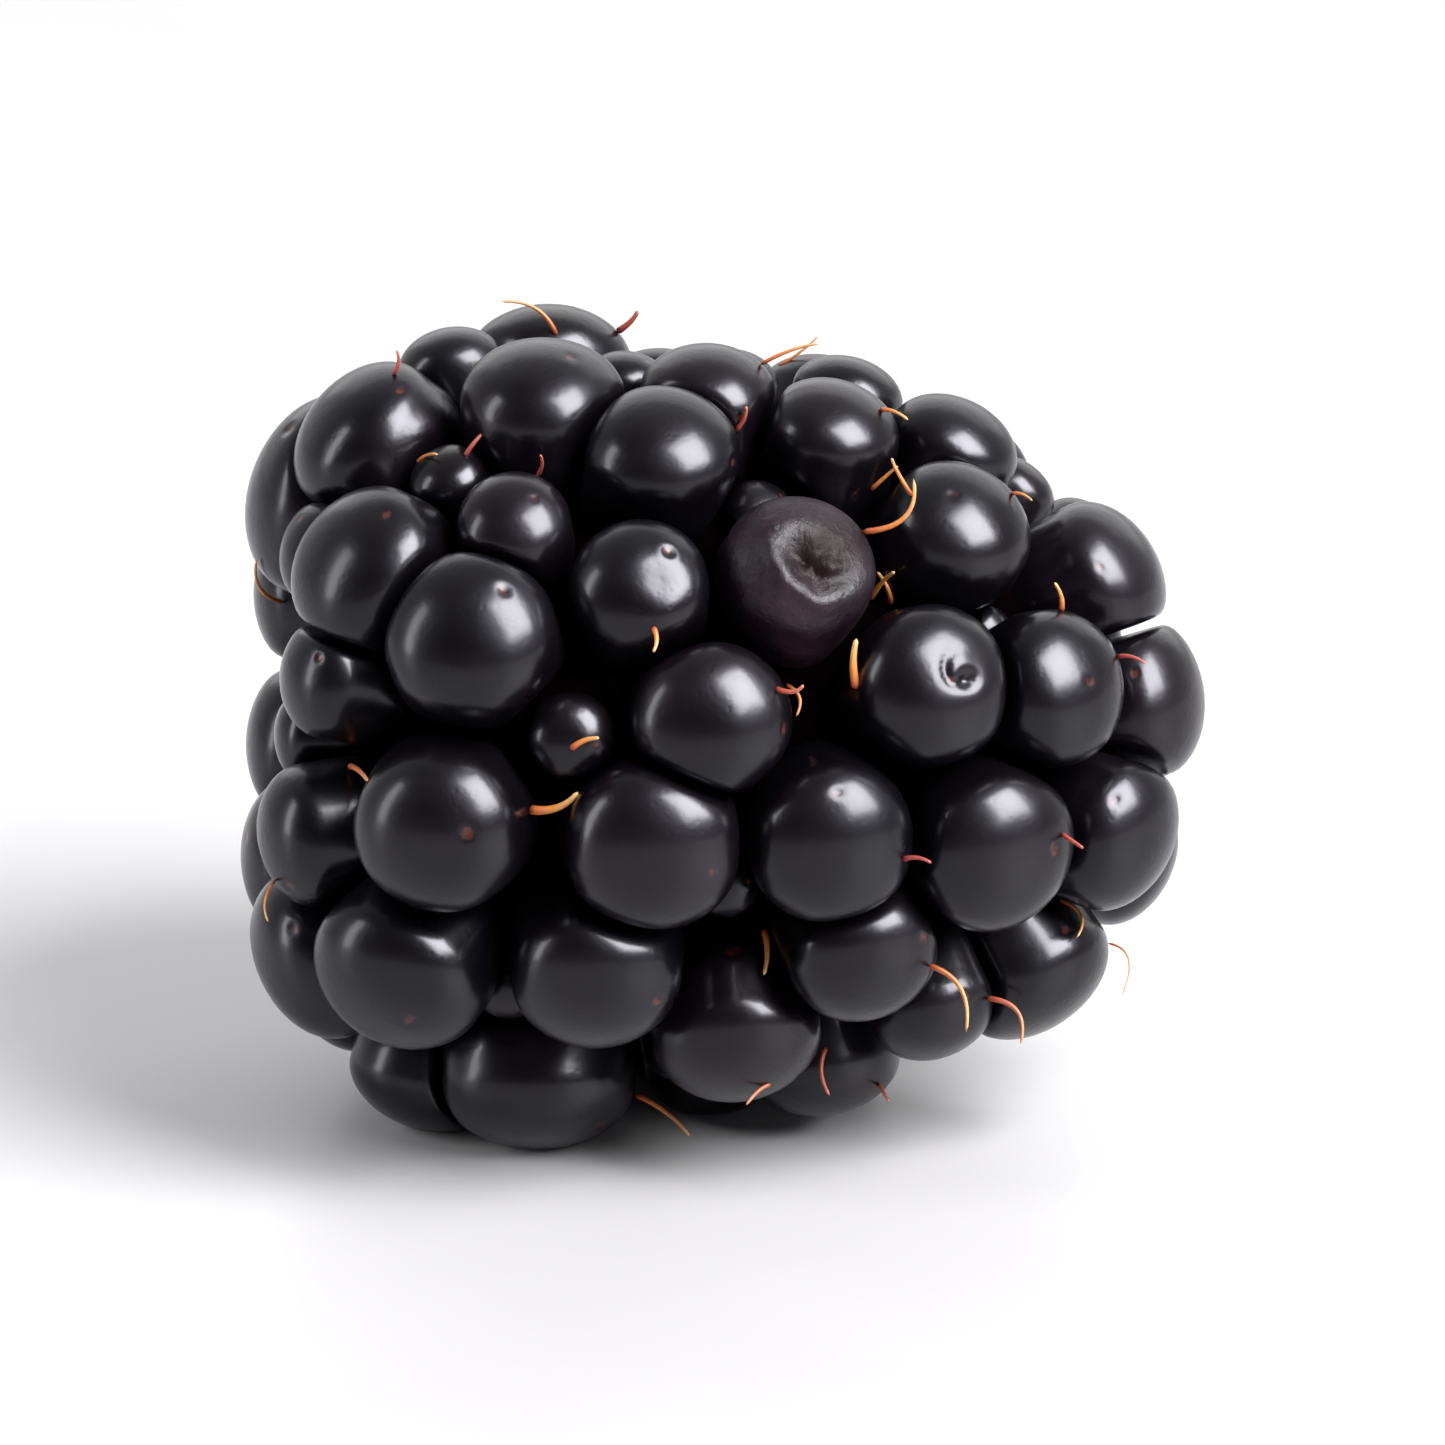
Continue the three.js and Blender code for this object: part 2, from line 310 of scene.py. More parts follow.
def grow_drupelets():
    """Every drupelet, and the height in the egg's frame that the berry is pressed flat at."""
    placed = placed_drupelets()
    grown = placed + relax(spiral_drupelets(placed), placed)
    grown += fillers(grown)
    for one in grown:
        one.axis = DIP @ outward(one.centre)
        one.centre = DIP @ one.centre - one.axis * (SINK * max(0, SMALL_RADIUS - one.radius))
    floor = min(one.lowest() for one in grown) + PRESSED_DEPTH
    for one in grown:
        height = one.lowest() - floor
        if height < SAG_REACH:
            one.centre.z -= max(0, height + SAG_DEPTH)
    return grown, floor


def resting_offset(drupelets, floor):
    """Where the egg's own origin lies in the frame, in millimetres."""
    middles = []
    for axis in (0, 1):
        low = min(one.centre[axis] - one.reach(axis) for one in drupelets)
        high = max(one.centre[axis] + one.reach(axis) for one in drupelets)
        middles.append((low + high) / 2)
    return Vector((-middles[0], -middles[1], -floor))


DRUPELETS, FLOOR = grow_drupelets()
OFFSET = resting_offset(DRUPELETS, FLOOR)

# ---------------------------------------------------------------- the view
# The camera looks along +Y from above the floor. Its frame is this wide where the berry lies.
VIEW_ELEVATION = math.radians(18.5)
CAMERA_TARGET = Vector((0.00006, -0.00005, 0.01134))
CAMERA_DISTANCE = 0.40
FRAME_WIDTH = 0.0415
SENSOR = 36.0

VIEW_RIGHT = Vector((1, 0, 0))
VIEW_UP = Vector((0, math.sin(VIEW_ELEVATION), math.cos(VIEW_ELEVATION)))
VIEW_BACK = Vector((0, -math.cos(VIEW_ELEVATION), math.sin(VIEW_ELEVATION)))


def seen(right, up, back):
    """A vector from its shares to the right, upwards and towards the viewer."""
    return VIEW_RIGHT * right + VIEW_UP * up + VIEW_BACK * back


def facing(right, up):
    """The outward direction at a point of a drupelet's disc, as the viewer sees the disc."""
    return seen(right, up, math.sqrt(max(0.0, 1 - right * right - up * up))).normalized()


# ---------------------------------------------------------------- mesh helpers
def new_object(name, vertices, faces, material):
    """A smooth mesh in the scene. Its vertices are in metres, in the frame."""
    mesh = bpy.data.meshes.new(name)
    mesh.from_pydata([tuple(v) for v in vertices], [], faces)
    mesh.validate()
    mesh.update()
    mesh.polygons.foreach_set("use_smooth", [True] * len(mesh.polygons))
    thing = bpy.data.objects.new(name, mesh)
    bpy.context.scene.collection.objects.link(thing)
    mesh.materials.append(material)
    return thing


def in_frame(vertices):
    """Vertices of the berry, already turned by DIP, moved to the frame and its metres."""
    return [(vertex + OFFSET) * MM for vertex in vertices]


def add_attribute(thing, name, values):
    """A number at each vertex, for a material to read."""
    layer = thing.data.attributes.new(name, "FLOAT", "POINT")
    layer.data.foreach_set("value", np.asarray(values, dtype=np.float32))


def ring_faces(rings, sides):
    """Faces over a pole, rings of vertices and a last pole: fans at the ends, quads between.

    They face outwards where the vertices go clockwise, seen along the way from pole to pole.
    """
    last = 1 + rings * sides
    low = last - sides
    faces = []
    for step in range(sides):
        after = (step + 1) % sides
        faces.append((0, 1 + after, 1 + step))
        faces.append((low + step, low + after, last))
        for here in range(1, low, sides):
            below = here + sides
            faces.append((here + step, here + after, below + after, below + step))
    return faces


def add_shell(vertices, faces, shell_vertices, shell_faces):
    """Adds a closed shell to the lists of a mesh."""
    first = len(vertices)
    vertices.extend(shell_vertices)
    faces.extend(tuple(first + corner for corner in face) for face in shell_faces)


def soft_cap(distance, limit, softness):
    """Distance held below limit, with a rounded shoulder as wide as softness."""
    room = (limit - distance) / softness
    held = np.where(room > 30, room, np.log1p(np.exp(np.minimum(room, 30))))
    return limit - softness * held


def perpendicular(axis):
    """Two directions square to an axis and to each other."""
    helper = Vector((0, 0, 1)) if abs(axis.z) < 0.9 else Vector((0, 1, 0))
    side = axis.cross(helper).normalized()
    return side, axis.cross(side)


# ---------------------------------------------------------------- drupelets
# Each drupelet is a ball of rings round the pole where its style stood, closer together near it.
SIDES = 48
RINGS = 32
EVEN_RINGS = 0.45
RING_POWER = 1.9

# It swells a little past its radius, widens below its middle, and ends in a broad root.
SWELL = 1.02
SPREAD = 0.06
SPREAD_BELOW = 0.5
ROOT_POWER = 4
ROOT_DEPTH = 3

# Neighbours press it flat where they meet, with a shoulder as a share of the smaller one's radius.
CONTACT_REACH = 1.4
CONTACT_GAP = 0.02
SHOULDER = 0.0625
FLOOR_GAP = 0.004
FLOOR_SHOULDER = 0.03

# Its skin has low waves, their height as a share of the radius.
LUMP = 0.012
LUMP_WAVES = 3
LUMP_RATE = 3.2

# Where the dried style stood, as shares of the disc to the right and up as the viewer sees it.
SCARS = {
    "a2": (0.35, 0.62),
    "a5": (0.35, 0.78),
    "a6": (0.92, -0.05),
    "a7": (0.45, -0.3),
    "a8": (0.35, -0.75),
    "b1": (0.12, 0.72),
    "b2": (0.35, 0.6),
    "b3": (0.42, 0.58),
    "b5": (0.3, 0.2),
    "b6": (0.0, 0.6),
    "b8": (0.05, 0.15),
    "c1": (-0.3, 0.3),
    "c3": (0.36, 0.58),
    "c5": (0.9, -0.1),
    "c6": (0.36, 0.1),
    "c7": (0.62, 0.1),
    "c8": (-0.1, 0.3),
    "d2": (0.27, -0.12),
    "d3": (0.68, -0.36),
    "d4": (0.12, 0.52),
    "d5": (0.83, -0.1),
    "d6": (0.1, 0.35),
    "e1": (-0.35, 0.25),
    "e2": (0.0, -0.72),
    "e3": (0.72, -0.45),
    "e4": (-0.05, 0.85),
    "e5": (0.85, 0.1),
    "e6": (0.5, 0.1),
    "e7": (0.4, 0.5),
}
# On the others it stands off the top towards the tip, in degrees, and aside, in radians.
SCAR_TILT = (28, 48)
SCAR_WANDER = 0.8
SCAR_WIDTH = 0.115

# The scar is a small pit: its width in radians, and its depth as a share of the radius.
PIT_WIDTH = (0.06, 0.1)
PIT_DEPTH = (0.01, 0.035)

# The dented drupelet has a pit with a rim, and a broad shallow dent beside it.
RIMMED_PIT_WIDTH = 0.09
RIMMED_PIT_DEPTH = 0.03
RIM_HEIGHT = 0.012
RIM_REACH = 1.75
RIM_SHARPNESS = 2.2
SHALLOW_PLACE = (0.3, 0.15)
SHALLOW_DEPTH = 0.07
SHALLOW_WIDTH = 0.33

# The hooked drupelet has a groove round a knob, deepest on one side, and a hole at its end.
# Places and lengths on a disc are shares of the radius. A bump is a height, a place to the
# right and up of the feature's middle, and a width.
HOOK_PLACE = (0.44, 0.26)
HOOK_NARROWING = 0.82
HOOK_SIDE = math.radians(205)
HOOK_REACH = 0.22
HOOK_WIDTH = 0.08
HOOK_DEPTH = 0.06
HOOK_BUMPS = [
    (-0.13, 0.11, -0.16, 0.1),
    (0.02, 0.03, 0.06, 0.12),
    (-0.035, -0.05, 0, 0.5),
]

# The shrivelled drupelet has a bent oval dent with a lip on its lower side, and folds on its bed.
DENT_PLACE = (0.32, 0.2)
DENT_TILT = math.radians(-27)
DENT_LENGTH = 0.52
DENT_HEIGHT = 0.38
DENT_BEND = 0.35
DENT_DEPTH = 0.2
DENT_EDGE = 0.9
LIP_SIDE = 0.35
LIP_REACH = 1.3
LIP_WIDTH = 0.3
LIP_HEIGHT = 0.055
FOLD_HEIGHT = 0.012
DENT_BUMPS = [
    (0.1, 0.2, -0.06, 0.16),
    (-0.13, -0.12, 0.04, 0.11),
    (-0.09, 0.02, -0.13, 0.1),
    (-0.06, -0.3, 0.12, 0.1),
]
# Painted shade over the dent: a darker, duller patch, set up and right of its middle so that the
# lower lip stays bright.
DENT_SHADE_PLACE = (0.4, 0.29)
DENT_SHADE_WIDTH = 0.5


def scar_direction(one, draw):
    """Where the style stands on a drupelet: between its top and the side towards the tip."""
    tilt = math.radians(draw.between(*SCAR_TILT))
    turn = draw.between(-SCAR_WANDER, SCAR_WANDER)
    if one.name in SCARS:
        return facing(*SCARS[one.name])
    tipward = Vector((1, 0, 0)) - one.axis * one.axis.x
    if tipward.length < 0.2:
        tipward = Vector((0, 0, 1)) - one.axis * one.axis.z
    tipward.normalize()
    across = one.axis.cross(tipward)
    side = tipward * math.cos(turn) + across * math.sin(turn)
    return (one.axis * math.cos(tilt) + side * math.sin(tilt)).normalized()


def polar_directions(pole):
    """Unit vectors on rings round a pole, closer together near it, and their angles from it."""
    side, other = perpendicular(pole)
    pole, side, other = (np.array(v) for v in (pole, side, other))
    rows, angles = [pole], [0]
    for ring in range(1, RINGS):
        share = ring / RINGS
        angle = math.pi * (EVEN_RINGS * share + (1 - EVEN_RINGS) * share**RING_POWER)
        for step in range(SIDES):
            turn = 2 * math.pi * step / SIDES
            around = math.cos(turn) * side + math.sin(turn) * other
            rows.append(math.cos(angle) * pole + math.sin(angle) * around)
            angles.append(angle)
    return np.array([*rows, -pole]), np.array([*angles, math.pi])


def polar_faces():
    """The faces of those rings, which go the other way round than ring_faces takes them."""
    return [(face[0], *face[:0:-1]) for face in ring_faces(RINGS - 1, SIDES)]


POLAR_FACES = polar_faces()


def lumps(directions, draw):
    """Low waves over a sphere, from a few seeded plane waves."""
    total = np.zeros(len(directions))
    for _ in range(LUMP_WAVES):
        wave = np.array([draw.between(-1, 1) for _ in range(3)]) * LUMP_RATE
        total += np.sin(directions @ wave + draw.between(0, 2 * math.pi))
    return LUMP * total / math.sqrt(LUMP_WAVES)


def contact_planes(one):
    """The flat faces where the neighbours press: the way out, how far it is, the smaller radius."""
    planes = []
    for other in DRUPELETS:
        between = other.centre - one.centre
        distance = between.length
        if other is one or distance > (one.radius + other.radius) * CONTACT_REACH:
            continue
        mine, theirs = one.radius * SWELL, other.radius * SWELL
        reach = (distance**2 + mine**2 - theirs**2) / (2 * distance)
        planes.append((np.array(between / distance), reach - CONTACT_GAP, min(mine, theirs)))
    return planes


def pressed(points, one):
    """The drupelet's points, held back by its neighbours and the floor."""
    centre = np.array(one.centre)
    planes = contact_planes(one)
    for _ in range(2):
        for direction, reach, smaller in planes:
            along = (points - centre) @ direction
            held = soft_cap(along, reach, SHOULDER * smaller)
            points = points + np.outer(held - along, direction)
    points[:, 2] = -soft_cap(-points[:, 2], -FLOOR - FLOOR_GAP, FLOOR_SHOULDER)
    return points


def spread(below):
    """How much wider than a ball a drupelet is at a share of the way down to its root."""
    wide = np.clip(below / SPREAD_BELOW, 0, 1)
    wide = 1 + SPREAD * wide * wide * (3 - 2 * wide)
    squared = (1 - below**ROOT_POWER) ** (1 / ROOT_POWER)
    return wide * squared / np.sqrt(np.maximum(1 - below**2, 1e-6))


def on_disc(directions, right, up):
    """Places of directions on the disc that the viewer sees, from a point on it, and which show."""
    across = directions @ np.array(VIEW_RIGHT) - right
    along = directions @ np.array(VIEW_UP) - up
    return across, along, directions @ np.array(VIEW_BACK) > 0.05


def bumps(across, along, rows):
    """Round bumps on the disc, added up."""
    return sum(
        height * np.exp(-((across - right) ** 2 + (along - up) ** 2) / width**2)
        for height, right, up, width in rows
    )


def pit(angles, width, depth):
    """A small round pit at the pole."""
    return -depth * np.exp(-((angles / width) ** 2))


def dented_relief(directions, angles):
    """A rimmed pit at the pole and a broad shallow dent."""
    rim = RIM_HEIGHT * np.exp(-((angles / RIMMED_PIT_WIDTH - RIM_REACH) ** 2) * RIM_SHARPNESS)
    away = np.arccos(np.clip(directions @ np.array(facing(*SHALLOW_PLACE)), -1, 1))
    dent = SHALLOW_DEPTH * np.exp(-((away / SHALLOW_WIDTH) ** 2))
    return pit(angles, RIMMED_PIT_WIDTH, RIMMED_PIT_DEPTH) + rim - dent


def hooked_relief(directions):
    """A hook-shaped groove round a small knob, with a deep hole at its lower end."""
    across, along, front = on_disc(directions, *HOOK_PLACE)
    reach = np.hypot(across / HOOK_NARROWING, along)
    turn = np.arctan2(along, across)
    hook = np.clip(0.5 + 0.62 * np.cos(turn - HOOK_SIDE), 0, 1)
    groove = HOOK_DEPTH * hook * np.exp(-(((reach - HOOK_REACH) / HOOK_WIDTH) ** 2))
    return np.where(front, bumps(across, along, HOOK_BUMPS) - groove, 0)


def shrivelled_relief(directions):
    """A sunken bent dent with a rolled lip, and a crease, folds and a knob on its bed."""
    across, along, front = on_disc(directions, *DENT_PLACE)
    long = across * math.cos(DENT_TILT) + along * math.sin(DENT_TILT)
    short = along * math.cos(DENT_TILT) - across * math.sin(DENT_TILT) - DENT_BEND * long * long
    turn = np.arctan2(short, long)
    # Waves round the dent make its outline uneven, and its lower side has the sharper edge.
    uneven = 1 + 0.08 * np.sin(3 * turn + 1) + 0.05 * np.sin(7 * turn)
    reach = np.hypot(long / DENT_LENGTH, short / DENT_HEIGHT) * uneven
    lower = np.clip(0.5 - 0.6 * np.sin(turn + LIP_SIDE), 0, 1)
    bed = 1 / (1 + np.exp((reach - DENT_EDGE) * (4 + 9 * lower)))
    lip = np.exp(-(((reach - LIP_REACH) / LIP_WIDTH) ** 2)) * lower
    # The folds are two sets of waves that cross.
    folds = np.sin(13 * short + 3 * np.sin(6 * long + 1)) + 0.6 * np.sin(21 * long - 9 * short)
    relief = LIP_HEIGHT * lip - DENT_DEPTH * bed + bumps(across, along, DENT_BUMPS)
    relief += FOLD_HEIGHT * folds * np.exp(-((reach / LIP_REACH) ** 4))
    return np.where(front, relief, 0)


def skin_relief(one, directions, angles, draw):
    """The pits and dents on a drupelet's skin, as shares of its radius."""
    if one.name == SHRIVELLED:
        return shrivelled_relief(directions)
    if one.name == HOOKED:
        return hooked_relief(directions)
    if one.name == DENTED:
        return dented_relief(directions, angles)
    return pit(angles, draw.between(*PIT_WIDTH), draw.between(*PIT_DEPTH))


def drupelet_points(one, directions, angles, draw):
    """One drupelet's vertices, in the egg's frame."""
    axis = np.array(one.axis)
    radius = one.radius * SWELL
    shape = 1 + lumps(directions, draw)
    shape += skin_relief(one, directions, angles, draw)
    height = directions @ axis
    aside = directions - np.outer(height, axis)
    below = np.clip(-height, 0, 1)
    stretch = np.where(height > 0, DOME, ROOT_DEPTH / radius)
    points = aside * spread(below)[:, None] + np.outer(height * stretch, axis)
    points = np.array(one.centre) + radius * shape[:, None] * points
    return pressed(points, one)


def scar_and_dent_shade_share(one, directions, angles):
    """How far each vertex lies in the scar, or, on the shrivelled one, in the painted shade over
    its dent, which sits up and to the right of the dent's middle.
    """
    if one.name == SHRIVELLED:
        across, along, front = on_disc(directions, *DENT_SHADE_PLACE)
        return np.where(front, np.exp(-(across**2 + along**2) / DENT_SHADE_WIDTH**2), 0)
    return np.exp(-((angles / SCAR_WIDTH) ** 2))


def drupelet_draw(one):
    """A draw of the drupelet's own. The first numbers are skipped: like names have like ones."""
    draw = Draw(sum(ord(letter) * 131**place for place, letter in enumerate(one.name)))
    for _ in range(3):
        draw()
    return draw


def drupelet_piece(name, drupelets, material):
    """One mesh of closed shells, a drupelet each. Notes where each one's style stands."""
    vertices, faces, ages, scar_and_dent_shade_shares = [], [], [], []
    for one in drupelets:
        draw = drupelet_draw(one)
        one.pole = scar_direction(one, draw)
        directions, angles = polar_directions(one.pole)
        points = drupelet_points(one, directions, angles, draw)
        one.scar = Vector(points[0])
        add_shell(vertices, faces, (points + np.array(OFFSET)) * MM, POLAR_FACES)
        ages.extend([draw()] * len(points))
        scar_and_dent_shade_shares.extend(scar_and_dent_shade_share(one, directions, angles))
    thing = new_object(name, vertices, faces, material)
    add_attribute(thing, "age", ages)
    # The scar attribute holds the scars, and on the shrivelled drupelet the painted shade over its
    # dent.
    add_attribute(thing, "scar", scar_and_dent_shade_shares)
    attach(thing, "root")
    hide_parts("drupelets")


# ---------------------------------------------------------------- materials
SKIN_TINTS = [
    (0.3, (0.0016, 0.0014, 0.0028)),
    (0.6, (0.0028, 0.0018, 0.003)),
    (0.8, (0.006, 0.0025, 0.004)),
]
AGED_TINT = (0.009, 0.004, 0.008)
SCAR_TINT = (0.07, 0.018, 0.012)
SHRIVELLED_TINTS = [
    (0.3, (0.005, 0.002, 0.005)),
    (0.52, (0.011, 0.004, 0.009)),
    (0.74, (0.032, 0.014, 0.022)),
]
# Painted shade in the shrivelled drupelet's dent.
DENT_PAINTED_SHADE_TINT = (0.012, 0.006, 0.006)
# Painted shade: the flesh is near black so that the gaps between the drupelets look shaded.
FLESH_SHADE_TINTS = [
    (0.3, (0.0005, 0.0003, 0.0004)),
    (0.7, (0.0016, 0.0006, 0.0007)),
]
TORN_TINTS = [
    (0.3, (0.13, 0.11, 0.028)),
    (0.5, (0.30, 0.25, 0.07)),
    (0.68, (0.50, 0.43, 0.16)),
]
HOLLOW_TINT = (0.045, 0.022, 0.012)
RED_STYLE_TINTS = [
    (0.0, (0.3, 0.025, 0.03)),
    (1.0, (0.6, 0.13, 0.11)),
]
ORANGE_STYLE_TINTS = [
    (0.0, (0.45, 0.08, 0.02)),
    (0.45, (0.75, 0.28, 0.05)),
    (1.0, (0.8, 0.5, 0.2)),
]
STYLE_SPECKLE_TINT = (0.2, 0.045, 0.03)
GROUND_TINTS = [
    (0.3, (0.60, 0.59, 0.605)),
    (0.7, (0.64, 0.63, 0.645)),
]


class Graph:
    """A node tree, with short ways to add the nodes that the materials and the world need.

    The scale of a noise is in waves to the metre, and a bump's distance is in metres.
    """

    def __init__(self, tree):
        self.nodes = tree.nodes
        self.links = tree.links
        self.coordinates = self.nodes.new("ShaderNodeTexCoord").outputs

    def feed(self, node, inputs):
        """Sets a node's inputs, each to a constant, a colour or another node's output."""
        for name, value in inputs.items():
            if isinstance(value, bpy.types.NodeSocket):
                self.links.new(value, node.inputs[name])
            elif isinstance(value, tuple):
                node.inputs[name].default_value = (*value, 1)
            else:
                node.inputs[name].default_value = value

    def add(self, kind, inputs):
        node = self.nodes.new(kind)
        self.feed(node, inputs)
        return node

    def noise(self, scale, detail, roughness=0.5):
        inputs = {"Scale": scale, "Detail": detail, "Roughness": roughness}
        inputs["Vector"] = self.coordinates["Object"]
        return self.add("ShaderNodeTexNoise", inputs).outputs["Fac"]

    def cells(self, scale):
        """The distance from the middle of the nearest of many small cells."""
        inputs = {"Scale": scale, "Vector": self.coordinates["Object"]}
        return self.add("ShaderNodeTexVoronoi", inputs).outputs["Distance"]

    def ramp(self, source, stops):
        """A colour ramp: stops are (position, colour)."""
        node = self.add("ShaderNodeValToRGB", {"Fac": source})
        elements = node.color_ramp.elements
        while len(elements) < len(stops):
            elements.new(0.5)
        for element, (position, colour) in zip(elements, stops):
            element.position = position
            element.color = (*colour, 1)
        return node.outputs["Color"]

    def mapped(self, source, low, high, to_low, to_high):
        """Takes low to to_low and high to to_high, and holds what is beyond them."""
        inputs = {"From Min": low, "From Max": high, "To Min": to_low, "To Max": to_high}
        inputs["Value"] = source
        return self.add("ShaderNodeMapRange", inputs).outputs["Result"]

    def mixed(self, factor, first, second):
        """A mix of two colours. The node's colours are its inputs 6 and 7, and its output 2."""
        node = self.nodes.new("ShaderNodeMix")
        node.data_type = "RGBA"
        self.feed(node, {0: factor, 6: first, 7: second})
        return node.outputs[2]

    def product(self, first, second):
        node = self.nodes.new("ShaderNodeMath")
        node.operation = "MULTIPLY"
        self.feed(node, {0: first, 1: second})
        return node.outputs[0]

    def attribute(self, name):
        node = self.nodes.new("ShaderNodeAttribute")
        node.attribute_name = name
        return node.outputs["Fac"]

    def bump(self, source, strength, distance, under=None):
        """Relief from a height, laid over the relief under it."""
        inputs = {"Height": source, "Strength": strength, "Distance": distance}
        if under is not None:
            inputs["Normal"] = under
        return self.add("ShaderNodeBump", inputs).outputs["Normal"]

    def shade(self, inputs):
        self.feed(self.nodes["Principled BSDF"], inputs)


def new_material(name):
    """A material, and the graph of its node tree."""
    material = bpy.data.materials.new(name)
    material.use_nodes = True
    return material, Graph(material.node_tree)


def skin_material():
    """Black glossy skin, plum-tinged on the oldest drupelets, with pores and a ragged scar."""
    material, graph = new_material("drupelet_skin")
    tint = graph.ramp(graph.noise(260, 3), SKIN_TINTS)
    aged = graph.mapped(graph.attribute("age"), 0.8, 1, 0, 0.3)
    tint = graph.mixed(aged, tint, AGED_TINT)
    ragged = graph.product(graph.attribute("scar"), graph.noise(4200, 3))
    scar = graph.mapped(ragged, 0.3, 0.5, 0, 1)
    tint = graph.mixed(scar, tint, SCAR_TINT)
    pores = graph.mapped(graph.cells(3600), 0.0, 0.35, 0, 1)
    relief = graph.bump(pores, 0.18, 0.00002)
    relief = graph.bump(graph.noise(5200, 3), 0.22, 0.00002, relief)
    relief = graph.bump(graph.noise(900, 3), 0.16, 0.00012, relief)
    graph.shade(
        {
            "Base Color": tint,
            "Roughness": graph.mapped(graph.noise(420, 4), 0.3, 0.75, 0.26, 0.4),
            "Normal": relief,
            "IOR": 1.3,
            "Specular Tint": (0.9, 0.88, 1),
            "Coat Weight": 0.4,
            "Coat Roughness": 0.18,
            "Coat IOR": 1.4,
            "Coat Tint": (0.93, 0.94, 1),
        }
    )
    return material


def shrivelled_material():
    """Dull plum-brown skin of the drupelet that has begun to shrivel, with painted shade, darker
    and matt, in its dent.
    """
    material, graph = new_material("shrivelled_skin")
    # Painted shade: where the scar attribute is high, the dent turns darker and less glossy.
    dent = graph.mapped(graph.attribute("scar"), 0.25, 0.75, 0, 1)
    tint = graph.ramp(graph.noise(700, 5, 0.6), SHRIVELLED_TINTS)
    graph.shade(
        {
            "Base Color": graph.mixed(dent, tint, DENT_PAINTED_SHADE_TINT),
            "Specular IOR Level": graph.mapped(dent, 0, 1, 0.36, 0.1),
            "Roughness": graph.mapped(graph.noise(1500, 4), 0.3, 0.7, 0.36, 0.54),
            "Normal": graph.bump(graph.noise(1900, 5, 0.65), 0.6, 0.00012),
            "IOR": 1.42,
        }
    )
    return material


def flesh_shade_material():
    """Flesh deep between the drupelets, near black as painted shade in the gaps."""
    material, graph = new_material("deep_flesh")
    graph.shade(
        {
            "Base Color": graph.ramp(graph.noise(900, 4), FLESH_SHADE_TINTS),
            "Normal": graph.bump(graph.noise(2500, 4), 0.5, 0.0002),
            "Roughness": 0.7,
            "IOR": 1.05,
            "Specular IOR Level": 0.05,
        }
    )
    return material


def receptacle_material():
    """Matt fibrous flesh, yellow at the torn rim and brown in the hollow."""
    material, graph = new_material("receptacle_flesh")
    torn = graph.ramp(graph.noise(1300, 5, 0.62), TORN_TINTS)
    graph.shade(
        {
            "Base Color": graph.mixed(graph.attribute("depth"), torn, HOLLOW_TINT),
            "Normal": graph.bump(graph.noise(4200, 5, 0.7), 0.8, 0.00012),
            "Roughness": 0.62,
        }
    )
    return material


def style_material():
    """Dried style: dark red or orange where it stands, and paler to its end."""
    material, graph = new_material("dried_style")
    along = graph.attribute("along")
    red = graph.ramp(along, RED_STYLE_TINTS)
    orange = graph.ramp(along, ORANGE_STYLE_TINTS)
    tint = graph.mixed(graph.attribute("warmth"), red, orange)
    speckle = graph.mapped(graph.noise(6000, 3), 0.35, 0.65, 0, 0.25)
    graph.shade(
        {
            "Base Color": graph.mixed(speckle, tint, STYLE_SPECKLE_TINT),
            "Normal": graph.bump(graph.noise(9000, 3), 0.4, 0.00002),
            "Roughness": 0.45,
        }
    )
    return material


def floor_material():
    """Pale ground with a faint sheen."""
    material, graph = new_material("pale_floor")
    graph.shade(
        {
            "Base Color": graph.ramp(graph.noise(60, 3), GROUND_TINTS),
            "Roughness": 0.38,
            "Specular IOR Level": 0.2,
        }
    )
    return material


# ---------------------------------------------------------------- flesh and receptacle
# The flesh is an egg inside that of the centres, with a hollow round the receptacle. Its outer
# side is lumpy.
FLESH_INSET = 1.6
FLESH_STEPS = 60
FLESH_SIDES = 120
FLESH_SEED = 41
FLESH_LUMP = 0.06
LUMPY_RADIUS = 3.7
MOUTH_RADIUS = 2.75
HOLLOW_SIDE = [(2.65, -10.9), (2.75, -10), (3.4, -6.9), (3.5, -2.9), (2.9, 1.1), (1.6, 4.6)]
HOLLOW_END = 6.1


def turned(profile, sides, placed):
    """Vertices and faces of a profile of (across, along) from axis to axis, turned round X."""
    ends = [placed(along, across, 0) for across, along in (profile[0], profile[-1])]
    rings = [
        placed(along, across, 2 * math.pi * step / sides)
        for across, along in profile[1:-1]
        for step in range(sides)
    ]
    return [ends[0], *rings, ends[1]], ring_faces(len(profile) - 2, sides)


def seeded_waves(seed, count, turns, rates):
    """Waves to make a turned piece uneven: how many go round it, their rate and their phase."""
    draw = Draw(seed)
    return [
        (round(draw.between(*turns)), draw.between(*rates), draw.between(0, 6.3))
        for _ in range(count)
    ]


def wave_sum(waves, turn, place):
    return sum(math.sin(count * turn + rate * place + phase) for count, rate, phase in waves)


